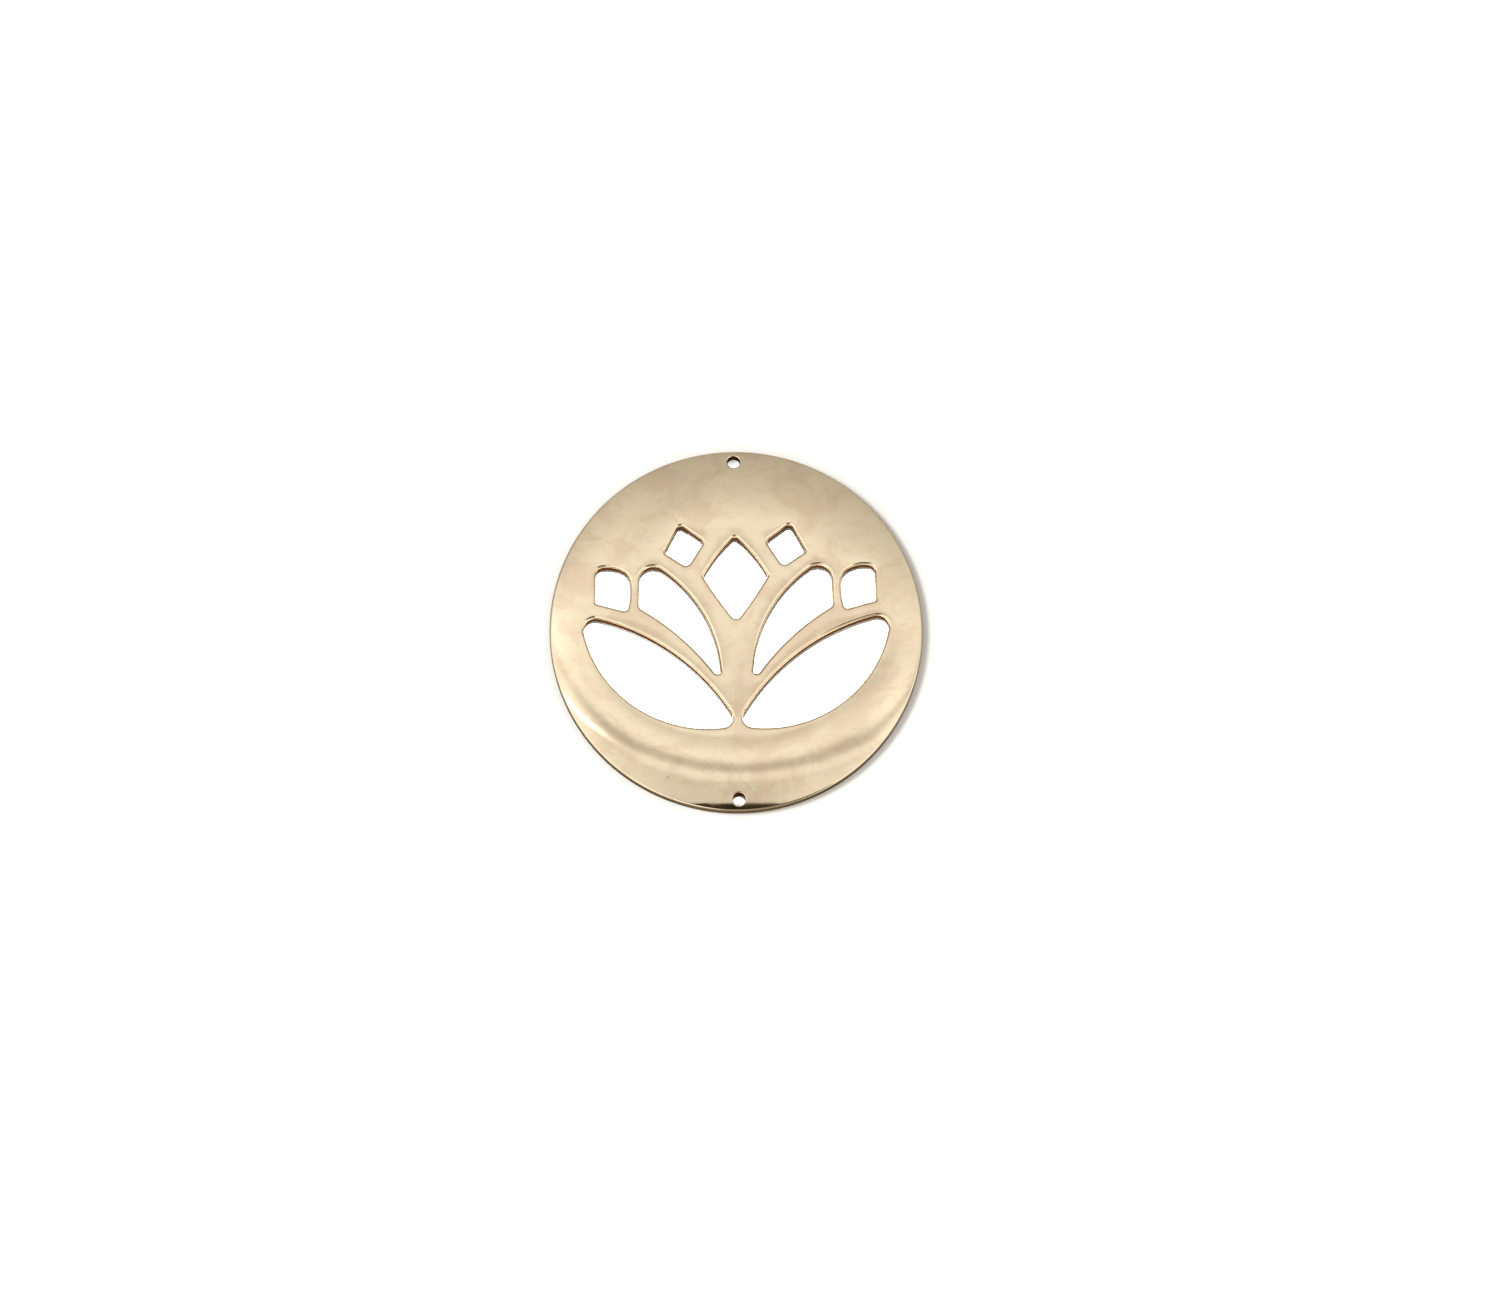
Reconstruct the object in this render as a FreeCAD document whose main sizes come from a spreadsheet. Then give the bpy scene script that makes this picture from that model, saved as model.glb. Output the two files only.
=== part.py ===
import FreeCAD, Part
import math
import os

import Sketcher

# A round pierced disc for jewellery, bronze-coloured, gently domed, with a lotus sawn or
# stamped through it and one small eyelet near each end.  It is a single piece of sheet metal,
# so the model has one body.  Millimetres.  The disc rests on its rim at Z = 0, the dome is
# towards +Z, and +Y points to the eyelet above the lotus.

document = FreeCAD.newDocument("lotus_connector")

# ---------------------------------------------------------------- sizes
# Each opening is a loop of named corners, listed anticlockwise.  A corner has a place (x, y),
# the radius that rounds it, and the radius of the edge that runs on to the next corner.
# An edge radius of 0 is a straight edge, and a negative one bends into the opening.

DISC_SIZES = {
    "disc_diameter": 38.0,
    "sheet_thickness": 1.3,
    "flat_radius": 11.0,
    "dome_radius": 40.0,
    "rim_top_round": 0.2,
    "rim_bottom_round": 0.35,
    "eyelet_diameter": 1.3,
    "eyelet_centre_y": 17.8,
    "mouth_round": 0.3,
    "back_round": 0.15,
    "eyelet_round": 0.12,
    "cut_depth": 5.0,
}

LEFT_OPENINGS = {
    "outer_petal": {
        "shoulder": (-15.74, 1.59, 1.15, 12.9),
        "tip": (0.05, -10.12, 1.05, 22.3),
    },
    "inner_petal": {
        "crown": (-9.72, 7.63, 1.4, 0.0),
        "heel": (-9.87, 2.33, 0.6, -25.0),
        "point": (-1.66, -5.57, 0.36, 14.1),
    },
    "window": {
        "outer_top": (-14.22, 6.5, 0.75, 0.0),
        "outer_bottom": (-14.27, 2.86, 0.2, 0.0),
        "inner_bottom": (-11.1, 1.93, 0.45, 8.0),
        "inner_top": (-10.88, 5.72, 1.4, 3.3),
    },
    "small_diamond": {
        "top": (-5.65, 11.08, 0.4, 0.0),
        "outer": (-7.22, 8.12, 0.3, 0.0),
        "bottom": (-4.88, 6.54, 0.55, 0.0),
        "inner": (-3.16, 9.25, 0.5, 0.0),
    },
}

CENTRE_OPENING = {
    "top": (0.0, 9.76, 0.3, 16.0),
    "left": (-3.29, 5.58, 0.27, 45.0),
    "bottom": (0.0, 0.76, 0.5, 45.0),
    "right": (3.29, 5.58, 0.27, 16.0),
}

CORNER_MEASURES = ("x", "y", "round", "edge")

# A cut that removes less than this many cubic millimetres has missed the sheet.
LEAST_CUT = 1.0
# A face counts as an upright wall when its normal leans less than this from level.
LEVEL_NORMAL = 0.001

sheet = document.addObject("Spreadsheet::Sheet", "sizes")
next_row = [1]


def add_size(alias, value):
    """Write one plain number with its name beside it."""
    row = next_row[0]
    sheet.set("A%d" % row, alias.replace("_", " "))
    sheet.set("B%d" % row, str(value))
    sheet.setAlias("B%d" % row, alias)
    next_row[0] = row + 1


for size_name, size_value in DISC_SIZES.items():
    add_size(size_name, size_value)

ALL_OPENINGS = dict(LEFT_OPENINGS, centre_diamond=CENTRE_OPENING)
for opening_name, opening_corners in ALL_OPENINGS.items():
    for corner_name, corner_values in opening_corners.items():
        for measure, corner_value in zip(CORNER_MEASURES, corner_values):
            add_size("_".join((opening_name, corner_name, measure)), corner_value)

document.recompute()


def size(alias):
    """Read a number back from the sheet."""
    return float(sheet.get(alias))


# ---------------------------------------------------------------- helpers

def flat_point(x, y):
    return FreeCAD.Vector(x, y, 0)


def origin_feature(owner, role):
    for feature in owner.Origin.OriginFeatures:
        if feature.Role == role:
            return feature
    raise ValueError("no origin feature called " + role)


def add_sketch(owner, name, plane_role):
    sketch = owner.newObject("Sketcher::SketchObject", name)
    sketch.AttachmentSupport = [(origin_feature(owner, plane_role), "")]
    sketch.MapMode = "FlatFace"
    return sketch


def constrain(sketch, *arguments):
    return sketch.addConstraint(Sketcher.Constraint(*arguments))


def constrain_size(sketch, name, expression, *arguments):
    """Add a dimension and bind it to the sheet."""
    index = constrain(sketch, *arguments)
    sketch.renameConstraint(index, name)
    sketch.setExpression("Constraints." + name, expression)
    return index


def end_near(sketch, geometry, point):
    """Number of the end of a line or arc that lies nearest to a point."""
    first_gap = (sketch.getPoint(geometry, 1) - point).Length
    second_gap = (sketch.getPoint(geometry, 2) - point).Length
    return 1 if first_gap < second_gap else 2


def arc_through(first, middle, last):
    return Part.Arc(first, middle, last)


def along_edge(start, end, edge_radius, share):
    """Point and direction a given share of the way along an opening's edge."""
    chord = end - start
    direction = FreeCAD.Vector(chord).normalize()
    inward = flat_point(-direction.y, direction.x)
    if edge_radius == 0:
        return start + chord * share, direction
    half_angle = math.asin(chord.Length / 2 / abs(edge_radius))
    side = math.copysign(1, edge_radius)
    centre = (start + end) * 0.5 + inward * (side * abs(edge_radius) * math.cos(half_angle))
    turn = side * half_angle * (2 * share - 1)
    spoke = FreeCAD.Rotation(FreeCAD.Vector(0, 0, 1), math.degrees(turn)).multVec(inward)
    heading = FreeCAD.Rotation(FreeCAD.Vector(0, 0, 1), math.degrees(turn)).multVec(direction)
    return centre - spoke * (side * abs(edge_radius)), heading


def draw_opening(sketch, opening):
    """Draw a loop of edges and rounded corners, fully fixed by the sheet's sizes."""
    corners = list(ALL_OPENINGS[opening])
    count = len(corners)
    places = []
    for corner in corners:
        stem = opening + "_" + corner
        places.append(flat_point(size(stem + "_x"), size(stem + "_y")))

    def edge_radius_after(index):
        return size(opening + "_" + corners[index % count] + "_edge")

    # Where each rounded corner leaves the edges on either side of it.
    trims = []
    for index, corner in enumerate(corners):
        before = places[index - 1]
        here = places[index]
        after = places[(index + 1) % count]
        heading_in = along_edge(before, here, edge_radius_after(index - 1), 1)[1]
        heading_out = along_edge(here, after, edge_radius_after(index), 0)[1]
        turn = heading_in.getAngle(heading_out)
        corner_radius = size(opening + "_" + corner + "_round")
        trims.append((corner_radius, corner_radius * math.tan(turn / 2), turn))

    edges = []
    for index in range(count):
        here = places[index]
        after = places[(index + 1) % count]
        radius = edge_radius_after(index)
        length = (after - here).Length
        start_share = trims[index][1] / length
        end_share = 1 - trims[(index + 1) % count][1] / length
        start = along_edge(here, after, radius, start_share)[0]
        end = along_edge(here, after, radius, end_share)[0]
        if radius == 0:
            shape = Part.LineSegment(start, end)
        else:
            middle = along_edge(here, after, radius, (start_share + end_share) / 2)[0]
            shape = arc_through(start, middle, end)
        edges.append((sketch.addGeometry(shape, False), start, end))

    for index, corner in enumerate(corners):
        stem = opening + "_" + corner
        here = places[index]
        edge_in, _, arc_start = edges[index - 1]
        edge_out, arc_end, _ = edges[index]
        corner_radius, _, turn = trims[index]
        inward = ((arc_start + arc_end) * 0.5 - here).normalize()
        middle = here + inward * (corner_radius / math.cos(turn / 2) - corner_radius)
        rounding = sketch.addGeometry(arc_through(arc_start, middle, arc_end), False)
        constrain(sketch, "Tangent", edge_in, end_near(sketch, edge_in, arc_start),
                  rounding, end_near(sketch, rounding, arc_start))
        constrain(sketch, "Tangent", rounding, end_near(sketch, rounding, arc_end),
                  edge_out, end_near(sketch, edge_out, arc_end))
        constrain_size(sketch, corner + "_round", "sizes." + stem + "_round",
                       "Radius", rounding, corner_radius)
        marker = sketch.addGeometry(Part.Point(here), True)
        constrain(sketch, "PointOnObject", marker, 1, edge_in)
        constrain(sketch, "PointOnObject", marker, 1, edge_out)
        if here.x == 0:
            constrain(sketch, "PointOnObject", marker, 1, -2)
        else:
            constrain_size(sketch, corner + "_x", "sizes." + stem + "_x",
                           "DistanceX", -1, 1, marker, 1, here.x)
        constrain_size(sketch, corner + "_y", "sizes." + stem + "_y",
                       "DistanceY", -1, 1, marker, 1, here.y)
        radius = edge_radius_after(index)
        if radius != 0:
            constrain_size(sketch, corner + "_edge", "abs(sizes." + stem + "_edge)",
                           "Radius", edge_out, abs(radius))


def cut_up_through(owner, name, sketch):
    """Pocket from the table plane upwards, right through the sheet."""
    volume_before = owner.Shape.Volume
    pocket = owner.newObject("PartDesign::Pocket", name)
    pocket.Profile = sketch
    pocket.Type = "Length"
    pocket.setExpression("Length", "sizes.cut_depth")
    pocket.Reversed = True
    document.recompute()
    if owner.Shape.Volume > volume_before - LEAST_CUT:
        raise RuntimeError(name + " cut nothing")
    return pocket


def mirror_cuts(owner, name, cuts, plane_role):
    """Repeat cuts on the other side of one of the body's planes."""
    volume_before = owner.Shape.Volume
    mirrored = owner.newObject("PartDesign::Mirrored", name)
    mirrored.Originals = cuts
    mirrored.MirrorPlane = (origin_feature(owner, plane_role), [""])
    owner.Tip = mirrored
    document.recompute()
    if owner.Shape.Volume > volume_before - LEAST_CUT:
        raise RuntimeError(name + " cut nothing")
    return mirrored


# ---------------------------------------------------------------- the domed blank

body = document.addObject("PartDesign::Body", "lotus_disc")
body.Label = "lotus_disc"
body.Placement = FreeCAD.Placement(FreeCAD.Vector(0, 0, 0), FreeCAD.Rotation(0, 0, 0))
document.recompute()

disc_radius = size("disc_diameter") / 2
thickness = size("sheet_thickness")
flat_radius = size("flat_radius")
dome_radius = size("dome_radius")
back_radius = dome_radius - thickness
rim_top = size("rim_top_round")
rim_bottom = size("rim_bottom_round")

# The rounded underside of the rim touches Z = 0, and everything else follows from it.
rim_bottom_centre = flat_point(disc_radius - rim_bottom, rim_bottom)
back_run = rim_bottom_centre.x - flat_radius
dome_centre_height = rim_bottom - math.sqrt((back_radius + rim_bottom) ** 2 - back_run ** 2)
crown_height = dome_centre_height + dome_radius
dome_centre = flat_point(flat_radius, dome_centre_height)
top_run = disc_radius - rim_top - flat_radius
rim_top_height = dome_centre_height + math.sqrt((dome_radius - rim_top) ** 2 - top_run ** 2)
rim_top_centre = flat_point(disc_radius - rim_top, rim_top_height)


def on_circle(centre, radius, towards):
    return centre + (towards - centre).normalize() * radius


top_axis_point = flat_point(0, crown_height)
top_flat_end = flat_point(flat_radius, crown_height)
dome_end = on_circle(dome_centre, dome_radius, rim_top_centre)
wall_top = flat_point(disc_radius, rim_top_centre.y)
wall_bottom = flat_point(disc_radius, rim_bottom)
back_end = on_circle(dome_centre, back_radius, rim_bottom_centre)
back_flat_end = flat_point(flat_radius, crown_height - thickness)
back_axis_point = flat_point(0, crown_height - thickness)


def middle_of_arc(centre, first, last):
    return on_circle(centre, (first - centre).Length, (first + last) * 0.5)


profile = add_sketch(body, "sheet_profile", "XZ_Plane")
top_line = profile.addGeometry(Part.LineSegment(top_axis_point, top_flat_end), False)
dome_middle = middle_of_arc(dome_centre, top_flat_end, dome_end)
dome_arc = profile.addGeometry(arc_through(top_flat_end, dome_middle, dome_end), False)
rim_top_middle = middle_of_arc(rim_top_centre, dome_end, wall_top)
rim_top_arc = profile.addGeometry(arc_through(dome_end, rim_top_middle, wall_top), False)
rim_wall = profile.addGeometry(Part.LineSegment(wall_top, wall_bottom), False)
rim_bottom_middle = on_circle(rim_bottom_centre, rim_bottom, flat_point(disc_radius, 0))
rim_bottom_arc = profile.addGeometry(arc_through(wall_bottom, rim_bottom_middle, back_end), False)
back_middle = middle_of_arc(dome_centre, back_end, back_flat_end)
back_arc = profile.addGeometry(arc_through(back_end, back_middle, back_flat_end), False)
back_line = profile.addGeometry(Part.LineSegment(back_flat_end, back_axis_point), False)
axis_line = profile.addGeometry(Part.LineSegment(back_axis_point, top_axis_point), False)

smooth_joins = (
    (top_line, dome_arc, top_flat_end),
    (dome_arc, rim_top_arc, dome_end),
    (rim_top_arc, rim_wall, wall_top),
    (rim_wall, rim_bottom_arc, wall_bottom),
    (rim_bottom_arc, back_arc, back_end),
    (back_arc, back_line, back_flat_end),
)
for first_piece, second_piece, join in smooth_joins:
    constrain(profile, "Tangent", first_piece, end_near(profile, first_piece, join),
              second_piece, end_near(profile, second_piece, join))
constrain(profile, "Coincident", back_line, 2, axis_line, 1)
constrain(profile, "Coincident", axis_line, 2, top_line, 1)
constrain(profile, "Horizontal", top_line)
constrain(profile, "Horizontal", back_line)
constrain(profile, "Vertical", rim_wall)
constrain(profile, "PointOnObject", top_line, 1, -2)
constrain(profile, "PointOnObject", back_line, 2, -2)
constrain(profile, "Coincident", dome_arc, 3, back_arc, 3)
constrain_size(profile, "half_width", "sizes.disc_diameter / 2",
               "DistanceX", -1, 1, rim_wall, 1, disc_radius)
constrain_size(profile, "flat_reach", "sizes.flat_radius",
               "DistanceX", -1, 1, dome_arc, 3, flat_radius)
constrain_size(profile, "dome_bend", "sizes.dome_radius", "Radius", dome_arc, dome_radius)
constrain_size(profile, "back_bend", "sizes.dome_radius - sizes.sheet_thickness",
               "Radius", back_arc, back_radius)
constrain_size(profile, "rim_top", "sizes.rim_top_round", "Radius", rim_top_arc, rim_top)
constrain_size(profile, "rim_bottom", "sizes.rim_bottom_round",
               "Radius", rim_bottom_arc, rim_bottom)
constrain_size(profile, "rim_rest", "sizes.rim_bottom_round",
               "DistanceY", -1, 1, rim_bottom_arc, 3, rim_bottom)

blank = body.newObject("PartDesign::Revolution", "domed_blank")
blank.Profile = profile
blank.ReferenceAxis = (profile, ["V_Axis"])
blank.Angle = 360
document.recompute()

# ---------------------------------------------------------------- the pierced lotus

left_cuts = []
for opening_name in LEFT_OPENINGS:
    outline = add_sketch(body, opening_name + "_outline", "XY_Plane")
    draw_opening(outline, opening_name)
    document.recompute()
    left_cuts.append(cut_up_through(body, opening_name + "_cut", outline))
mirror_cuts(body, "right_half_cuts", left_cuts, "YZ_Plane")

centre_outline = add_sketch(body, "centre_diamond_outline", "XY_Plane")
draw_opening(centre_outline, "centre_diamond")
document.recompute()
cut_up_through(body, "centre_diamond_cut", centre_outline)

# ---------------------------------------------------------------- the two eyelets

eyelet_outline = add_sketch(body, "eyelet_outline", "XY_Plane")
eyelet_circle = Part.Circle(
    flat_point(0, size("eyelet_centre_y")),
    FreeCAD.Vector(0, 0, 1),
    size("eyelet_diameter") / 2,
)
eyelet = eyelet_outline.addGeometry(eyelet_circle, False)
constrain(eyelet_outline, "PointOnObject", eyelet, 3, -2)
constrain_size(eyelet_outline, "eyelet_bore", "sizes.eyelet_diameter",
               "Diameter", eyelet, size("eyelet_diameter"))
constrain_size(eyelet_outline, "eyelet_place", "sizes.eyelet_centre_y",
               "DistanceY", -1, 1, eyelet, 3, size("eyelet_centre_y"))
document.recompute()
eyelet_cut = cut_up_through(body, "top_eyelet_cut", eyelet_outline)
pierced = mirror_cuts(body, "bottom_eyelet_cut", [eyelet_cut], "XZ_Plane")

# ---------------------------------------------------------------- softened edges


def is_eyelet_wall(face):
    """True for the two small round holes, false for the lotus openings."""
    return face.CenterOfMass.x ** 2 < rim_bottom ** 2 and abs(face.CenterOfMass.y) > flat_radius


def opening_edges(shape):
    """Names of the edges round the polished mouths, the back mouths and the eyelets."""
    wall_edges = []
    eyelet_edges = []
    for face in shape.Faces:
        low_u, high_u, low_v, high_v = face.ParameterRange
        normal = face.normalAt((low_u + high_u) / 2, (low_v + high_v) / 2)
        is_rim = face.BoundBox.DiagonalLength > disc_radius * 2
        if abs(normal.z) < LEVEL_NORMAL and not is_rim:
            owner_list = eyelet_edges if is_eyelet_wall(face) else wall_edges
            owner_list.extend(face.Edges)
    mouths = []
    backs = []
    eyelets = []
    for number, edge in enumerate(shape.Edges, 1):
        if edge.BoundBox.ZLength > thickness / 2:
            continue
        is_high = edge.CenterOfMass.z > crown_height - thickness
        if any(edge.isSame(other) for other in eyelet_edges):
            eyelets.append("Edge%d" % number)
        elif any(edge.isSame(other) for other in wall_edges):
            (mouths if is_high else backs).append("Edge%d" % number)
    return mouths, backs, eyelets


def round_edges(owner, name, base, edge_names, alias):
    rounding = owner.newObject("PartDesign::Fillet", name)
    rounding.Base = (base, edge_names)
    rounding.setExpression("Radius", "sizes." + alias)
    document.recompute()
    return rounding


mouth_edges = opening_edges(pierced.Shape)[0]
softened_face = round_edges(body, "rounded_mouths", pierced, mouth_edges, "mouth_round")
back_edges = opening_edges(softened_face.Shape)[1]
softened_back = round_edges(body, "eased_back", softened_face, back_edges, "back_round")
eyelet_edges = opening_edges(softened_back.Shape)[2]
eased_eyelets = round_edges(body, "eased_eyelets", softened_back, eyelet_edges, "eyelet_round")
body.Tip = eased_eyelets
document.recompute()

# ---------------------------------------------------------------- checks and files

for item in document.Objects:
    if "Invalid" in item.State or "Error" in item.State:
        raise RuntimeError(item.Label + " is in a bad state: " + ", ".join(item.State))
if body.Shape.isNull() or not body.Shape.isValid() or len(body.Shape.Solids) != 1:
    raise RuntimeError("the disc is not one valid solid")

os.makedirs("parts", exist_ok=True)
body.Shape.exportStep("parts/" + body.Label + ".step")
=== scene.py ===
import math

import bpy
import numpy as np
from mathutils import Matrix, Vector
from mathutils.geometry import delaunay_2d_cdt


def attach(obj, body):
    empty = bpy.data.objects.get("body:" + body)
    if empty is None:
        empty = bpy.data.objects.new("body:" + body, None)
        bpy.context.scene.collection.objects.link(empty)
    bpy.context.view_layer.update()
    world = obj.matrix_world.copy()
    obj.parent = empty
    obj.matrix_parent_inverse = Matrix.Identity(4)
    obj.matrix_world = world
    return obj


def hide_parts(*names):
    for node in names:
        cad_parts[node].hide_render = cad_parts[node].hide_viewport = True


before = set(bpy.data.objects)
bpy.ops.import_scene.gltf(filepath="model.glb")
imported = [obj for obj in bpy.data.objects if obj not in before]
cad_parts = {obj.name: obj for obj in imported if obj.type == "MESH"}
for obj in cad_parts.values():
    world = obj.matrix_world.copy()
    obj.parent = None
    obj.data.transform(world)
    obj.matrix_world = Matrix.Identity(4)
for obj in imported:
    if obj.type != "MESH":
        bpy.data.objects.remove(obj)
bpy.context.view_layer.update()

# A polished bronze disc pierced with a lotus.  The CAD node is shown by a finer mesh of the same
# shape, with softly rolled mouths round each opening.  Lengths are millimetres until the mesh and
# the studio are made, and METRE turns them into Blender's metres.

METRE = 0.001
NODE = "lotus_disc"

# ---------------------------------------------------------------- sizes shared with the CAD model

DISC_RADIUS = 19.0
THICKNESS = 1.3
FLAT_RADIUS = 11.0
DOME_RADIUS = 40.0
RIM_TOP_ROUND = 0.2
RIM_BOTTOM_ROUND = 0.35
MOUTH_ROUND = 0.3
BACK_ROUND = 0.15
EYELET_RADIUS = 0.65
EYELET_Y = 17.8
EYELET_ROUND = 0.12

# Corners run anticlockwise: x, y, the radius that rounds the corner, and the radius of the edge to
# the next corner (0 is straight, negative bends into the opening).
LEFT_OPENINGS = {
    "outer_petal": [(-15.74, 1.59, 1.15, 12.9), (0.05, -10.12, 1.05, 22.3)],
    "inner_petal": [
        (-9.72, 7.63, 1.4, 0.0),
        (-9.87, 2.33, 0.6, -25.0),
        (-1.66, -5.57, 0.36, 14.1),
    ],
    "window": [
        (-14.22, 6.5, 0.75, 0.0),
        (-14.27, 2.86, 0.2, 0.0),
        (-11.1, 1.93, 0.45, 8.0),
        (-10.88, 5.72, 1.4, 3.3),
    ],
    "small_diamond": [
        (-5.65, 11.08, 0.4, 0.0),
        (-7.22, 8.12, 0.3, 0.0),
        (-4.88, 6.54, 0.55, 0.0),
        (-3.16, 9.25, 0.5, 0.0),
    ],
}
CENTRE_DIAMOND = [
    (0.0, 9.76, 0.3, 16.0),
    (-3.29, 5.58, 0.27, 45.0),
    (0.0, 0.76, 0.5, 45.0),
    (3.29, 5.58, 0.27, 16.0),
]

# Keeps a length from being zero before it divides.
TINY = 1e-9

BACK_RADIUS = DOME_RADIUS - THICKNESS
RIM_RUN = DISC_RADIUS - RIM_BOTTOM_ROUND - FLAT_RADIUS
DOME_CENTRE_Z = RIM_BOTTOM_ROUND - math.sqrt((BACK_RADIUS + RIM_BOTTOM_ROUND) ** 2 - RIM_RUN ** 2)

# ---------------------------------------------------------------- outlines
# An outline is a closed loop of points with, at each point, the direction into the metal.

# The radius that stands for a straight edge.
STRAIGHT = 1.0e4
# How far the visual rim stays inside the CAD rim.
SKIN = 0.006
# Spacing of points along an edge, the fewest steps on an edge, and the steps round a corner.
EDGE_STEP = 0.12
LEAST_STEPS = 3
CORNER_STEPS = 10
EYELET_POINTS = 56
RIM_POINTS = 720


def edge_circle(start, end, radius):
    """Centre, radius and side (+1 bulges outwards) of the arc between two corners."""
    side = -1.0 if radius < 0 else 1.0
    radius = abs(radius) or STRAIGHT
    chord = end - start
    length = np.linalg.norm(chord)
    inward = np.array([-chord[1], chord[0]]) / length
    centre = (start + end) / 2 + inward * side * math.sqrt(radius ** 2 - length ** 2 / 4)
    return centre, radius, side


def corner_centre(before, after, rounding, near):
    """Centre of the circle that rounds the corner between two edges."""
    reach_before = before[1] - before[2] * rounding
    reach_after = after[1] - after[2] * rounding
    between = after[0] - before[0]
    gap = np.linalg.norm(between)
    along = (gap ** 2 + reach_before ** 2 - reach_after ** 2) / (2 * gap)
    across = math.sqrt(max(reach_before ** 2 - along ** 2, 0.0))
    unit = between / gap
    normal = np.array([-unit[1], unit[0]])
    choices = [before[0] + unit * along + normal * across * sign for sign in (1, -1)]
    return min(choices, key=lambda point: np.linalg.norm(point - near))


def arc_points(centre, radius, first, last, side, count):
    """Points from first towards last, without last, and the directions out of the opening."""
    start = math.atan2(*(first - centre)[::-1])
    sweep = math.atan2(*(last - centre)[::-1]) - start
    sweep = (sweep + math.pi) % math.tau - math.pi
    angles = start + sweep * np.arange(count) / count
    spokes = np.stack([np.cos(angles), np.sin(angles)], axis=1)
    return centre + spokes * radius, spokes * side


def outline(corners):
    """Trace the rounded corners and bowed edges of one opening."""
    places = [np.array(corner[:2]) for corner in corners]
    count = len(corners)
    circles = [
        edge_circle(places[i], places[(i + 1) % count], corners[i][3]) for i in range(count)
    ]
    centres = [
        corner_centre(circles[i - 1], circles[i], corners[i][2], places[i]) for i in range(count)
    ]

    def touch(index, circle):
        """Where a corner's round meets one of its edges."""
        spoke = centres[index] - circle[0]
        return circle[0] + spoke / np.linalg.norm(spoke) * circle[1]

    points = []
    normals = []
    for i in range(count):
        arrive = touch(i, circles[i - 1])
        leave = touch(i, circles[i])
        finish = touch((i + 1) % count, circles[i])
        rounded = arc_points(centres[i], corners[i][2], arrive, leave, 1.0, CORNER_STEPS)
        steps = max(LEAST_STEPS, int(np.linalg.norm(finish - leave) / EDGE_STEP))
        centre, radius, side = circles[i]
        edge = arc_points(centre, radius, leave, finish, side, steps)
        points += [rounded[0], edge[0]]
        normals += [rounded[1], edge[1]]
    return np.concatenate(points), np.concatenate(normals)


def mirrored(loop):
    """The same loop on the other side of the YZ plane, still anticlockwise."""
    flip = np.array([-1.0, 1.0])
    return loop[0][::-1] * flip, loop[1][::-1] * flip


def circle_loop(centre, radius, count, into_metal):
    angles = math.tau * np.arange(count) / count
    spokes = np.stack([np.cos(angles), np.sin(angles)], axis=1)
    return np.array(centre) + spokes * radius, spokes * into_metal


left_loops = [outline(corners) for corners in LEFT_OPENINGS.values()]
lotus_loops = left_loops + [mirrored(loop) for loop in left_loops] + [outline(CENTRE_DIAMOND)]
eyelet_loops = [
    circle_loop((0.0, y), EYELET_RADIUS, EYELET_POINTS, 1.0) for y in (EYELET_Y, -EYELET_Y)
]
rim_loop = circle_loop((0.0, 0.0), DISC_RADIUS - SKIN, RIM_POINTS, -1.0)

# Each loop with the rounding of its front edge and of its back edge.
LOTUS = [(loop, MOUTH_ROUND, BACK_ROUND) for loop in lotus_loops]
EYELETS = [(loop, EYELET_ROUND, EYELET_ROUND) for loop in eyelet_loops]
RIM = [(rim_loop, RIM_TOP_ROUND, RIM_BOTTOM_ROUND)]
LOOPS = LOTUS + EYELETS + RIM

# ---------------------------------------------------------------- the sheet's two faces

# Buffing has rolled the front face down beside the openings: how deep at the edge, and its reach.
SOFT_DROP = 0.04
SOFT_REACH = 0.55
# How fast the rim's round turns dark, and the least brightness left on the rim and in an opening.
# The dark line round the rim is painted shade; the dark opening walls and mouths are patina where
# polish doesn't reach, with painted shade.
RIM_SHADE_FALLOFF = 3
RIM_SHADE_BRIGHTNESS = 0.25
EDGE_POLISH_AND_SHADE = 0.16
# The least height of any vertex, so that the sheet stays above the CAD model's underside.
LEAST_HEIGHT = 0.001
# Angles of the rings on the front rounds and on the back rounds, from the wall to the face.
FRONT_TURNS = (0, 14, 28, 42, 56, 70, 80, 90)
BACK_TURNS = (0, 30, 60, 90)
# Mesh spacing on the two faces, the share of it kept clear beside the rings, the distance that
# welds two points, and the triangulation kind that fills the convex hull.
FRONT_SPACING = 0.34
BACK_SPACING = 0.6
CLEAR_SHARE = 0.55
WELD_DISTANCE = 1e-7
FILL_HULL = 0


def dome_height(points, face_radius):
    """Height of the dome, and its slope vector, for the front or the back face."""
    distance = np.linalg.norm(points, axis=1)
    run = np.clip(distance - FLAT_RADIUS, 0.0, None)
    rise = np.sqrt(face_radius ** 2 - run ** 2)
    spokes = points / np.maximum(distance, TINY)[:, None]
    return DOME_CENTRE_Z + rise, spokes * (-run / rise)[:, None]


def soft_roll(points, own_loop=None, own_distance=None):
    """How far buffing has rolled the front face down near the openings, and its slope vector."""
    drop = np.zeros(len(points))
    slope = np.zeros((len(points), 2))
    for index, (loop, _, _) in enumerate(LOTUS):
        if index == own_loop:
            distance = np.full(len(points), own_distance)
            away = loop[1]
        else:
            gaps = points[:, None, :] - loop[0][None, :, :]
            squares = (gaps ** 2).sum(axis=2)
            nearest = squares.argmin(axis=1)
            rows = np.arange(len(points))
            distance = np.sqrt(squares[rows, nearest])
            away = gaps[rows, nearest] / np.maximum(distance, TINY)[:, None]
        fall = SOFT_DROP * np.exp(-distance / SOFT_REACH)
        drop += fall
        slope += away * (fall / SOFT_REACH)[:, None]
    return drop, slope


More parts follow.
